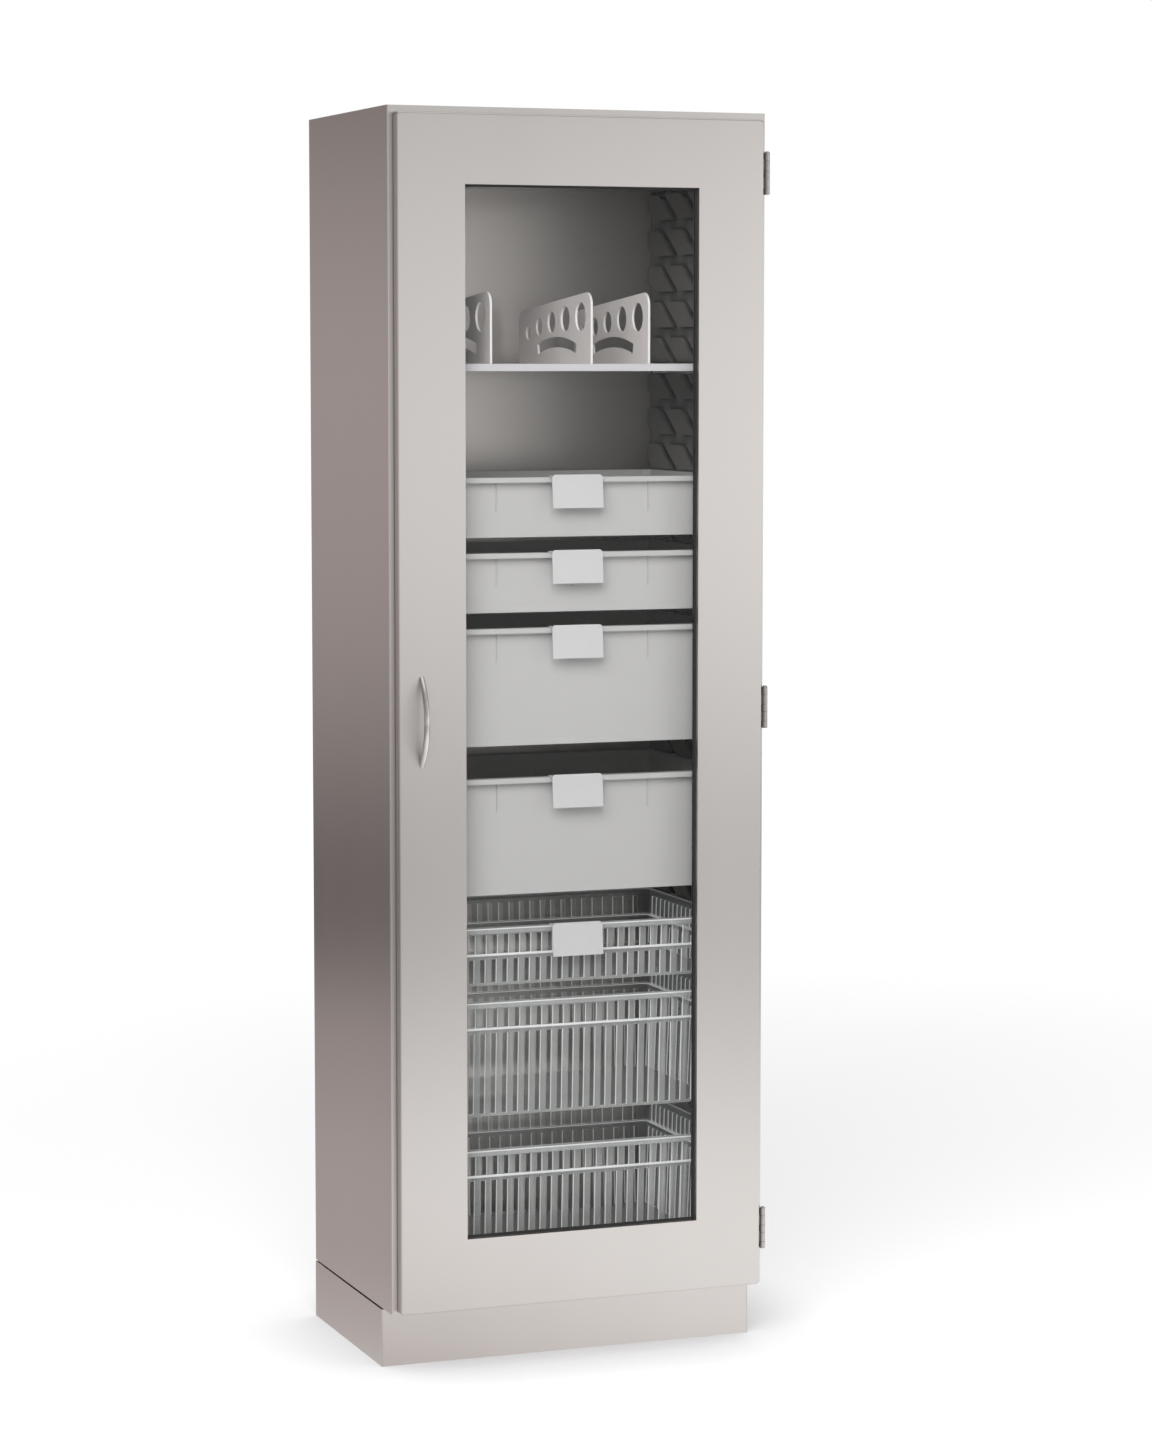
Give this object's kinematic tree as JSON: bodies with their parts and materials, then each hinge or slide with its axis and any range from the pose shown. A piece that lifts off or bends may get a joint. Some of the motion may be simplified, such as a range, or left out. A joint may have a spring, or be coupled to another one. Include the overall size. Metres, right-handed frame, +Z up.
{
  "type": "suture cabinet",
  "caption": "Tall steel supply cabinet on a recessed plinth, with a hinged glazed door, lift-in trays and slotted baskets on moulded side racks, and a divided shelf.",
  "frame": {"origin": "on the floor, in the middle of the footprint of the closed cabinet with its handle", "axes": "+Z up, +X to the right when facing the door, +Y to the back, so the door faces -Y"},
  "size_m": [0.6824, 0.4946, 2.125],
  "materials": {
    "satin_steel": "stainless sheet, fine upright grain, satin",
    "zinc_steel": "zinc plated",
    "stainless_steel": "satin",
    "safety_glass": "clear, polished",
    "black_rubber": "matte",
    "rack_plastic": "moulded, satin",
    "tray_plastic": "moulded, satin",
    "clear_plastic": "clear, moulded",
    "label_plastic": "white, satin",
    "shelf_plastic": "moulded, satin",
    "divider_plastic": "moulded, satin",
    "catch_plastic": "moulded"
  },
  "bodies": {
    "cabinet": {"back_panel": "satin_steel", "base_frame": "zinc_steel", "ceiling_panel": "satin_steel", "floor_pan": "satin_steel", "left_divider": "divider_plastic", "left_front_upright": "zinc_steel", "left_lower_rack": "rack_plastic", "left_middle_rack": "rack_plastic", "left_rear_upright": "zinc_steel", "left_side_panel": "satin_steel", "left_upper_rack": "rack_plastic", "lower_catch": "catch_plastic", "lower_hinge_case_leaf": "stainless_steel", "lower_hinge_pin": "stainless_steel", "middle_divider": "divider_plastic", "middle_hinge_case_leaf": "stainless_steel", "middle_hinge_pin": "stainless_steel", "plinth_back": "satin_steel", "plinth_front": "satin_steel", "plinth_left": "satin_steel", "plinth_right": "satin_steel", "right_divider": "divider_plastic", "right_front_upright": "zinc_steel", "right_lower_rack": "rack_plastic", "right_middle_rack": "rack_plastic", "right_rear_upright": "zinc_steel", "right_side_panel": "satin_steel", "right_upper_rack": "rack_plastic", "shelf": "shelf_plastic", "top_panel": "satin_steel", "upper_catch": "catch_plastic", "upper_hinge_case_leaf": "stainless_steel", "upper_hinge_pin": "stainless_steel"},
    "door": {"door_back_pan": "satin_steel", "door_buffers": "black_rubber", "door_front_pan": "satin_steel", "door_glass": "safety_glass", "glazing_seal": "black_rubber", "handle": "stainless_steel", "handle_screws": "stainless_steel", "lower_hinge_door_leaf": "stainless_steel", "lower_strike": "zinc_steel", "middle_hinge_door_leaf": "stainless_steel", "upper_hinge_door_leaf": "stainless_steel", "upper_strike": "zinc_steel"},
    "tray_1": {"tray_1": "tray_plastic", "label_holder_1": "label_plastic"},
    "tray_2": {"tray_2": "tray_plastic", "label_holder_2": "label_plastic"},
    "tray_3": {"tray_3": "tray_plastic", "label_holder_3": "label_plastic"},
    "tray_4": {"tray_4": "tray_plastic", "label_holder_4": "label_plastic"},
    "basket_1": {"basket_1": "clear_plastic", "label_holder_5": "label_plastic"},
    "basket_2": {"basket_2": "clear_plastic"},
    "basket_3": {"basket_3": "clear_plastic"}
  },
  "joints": [
    {"name": "door_hinge", "type": "hinge", "parent": "cabinet", "child": "door", "pos_m": [0.3396, -0.20075, 1.11], "axis": [0, 0, 1], "range_deg": [0, 180]},
    {"name": "tray_1_slide", "type": "slide", "parent": "cabinet", "child": "tray_1", "axis": [0, -1, 0], "range_m": [0, 0.21]},
    {"name": "tray_2_slide", "type": "slide", "parent": "cabinet", "child": "tray_2", "axis": [0, -1, 0], "range_m": [0, 0.21]},
    {"name": "tray_3_slide", "type": "slide", "parent": "cabinet", "child": "tray_3", "axis": [0, -1, 0], "range_m": [0, 0.21]},
    {"name": "tray_4_slide", "type": "slide", "parent": "cabinet", "child": "tray_4", "axis": [0, -1, 0], "range_m": [0, 0.21]},
    {"name": "basket_1_slide", "type": "slide", "parent": "cabinet", "child": "basket_1", "axis": [0, -1, 0], "range_m": [0, 0.21]},
    {"name": "basket_2_slide", "type": "slide", "parent": "cabinet", "child": "basket_2", "axis": [0, -1, 0], "range_m": [0, 0.21]},
    {"name": "basket_3_slide", "type": "slide", "parent": "cabinet", "child": "basket_3", "axis": [0, -1, 0], "range_m": [0, 0.21]}
  ],
  "couplings": [
    {"joint": "tray_1_slide", "follows": "door_hinge", "m_per_rad": 0.0668},
    {"joint": "tray_2_slide", "follows": "door_hinge", "m_per_rad": 0.0668},
    {"joint": "tray_3_slide", "follows": "door_hinge", "m_per_rad": 0.0668},
    {"joint": "tray_4_slide", "follows": "door_hinge", "m_per_rad": 0.0668},
    {"joint": "basket_1_slide", "follows": "door_hinge", "m_per_rad": 0.0668},
    {"joint": "basket_2_slide", "follows": "door_hinge", "m_per_rad": 0.0668},
    {"joint": "basket_3_slide", "follows": "door_hinge", "m_per_rad": 0.0668}
  ]
}
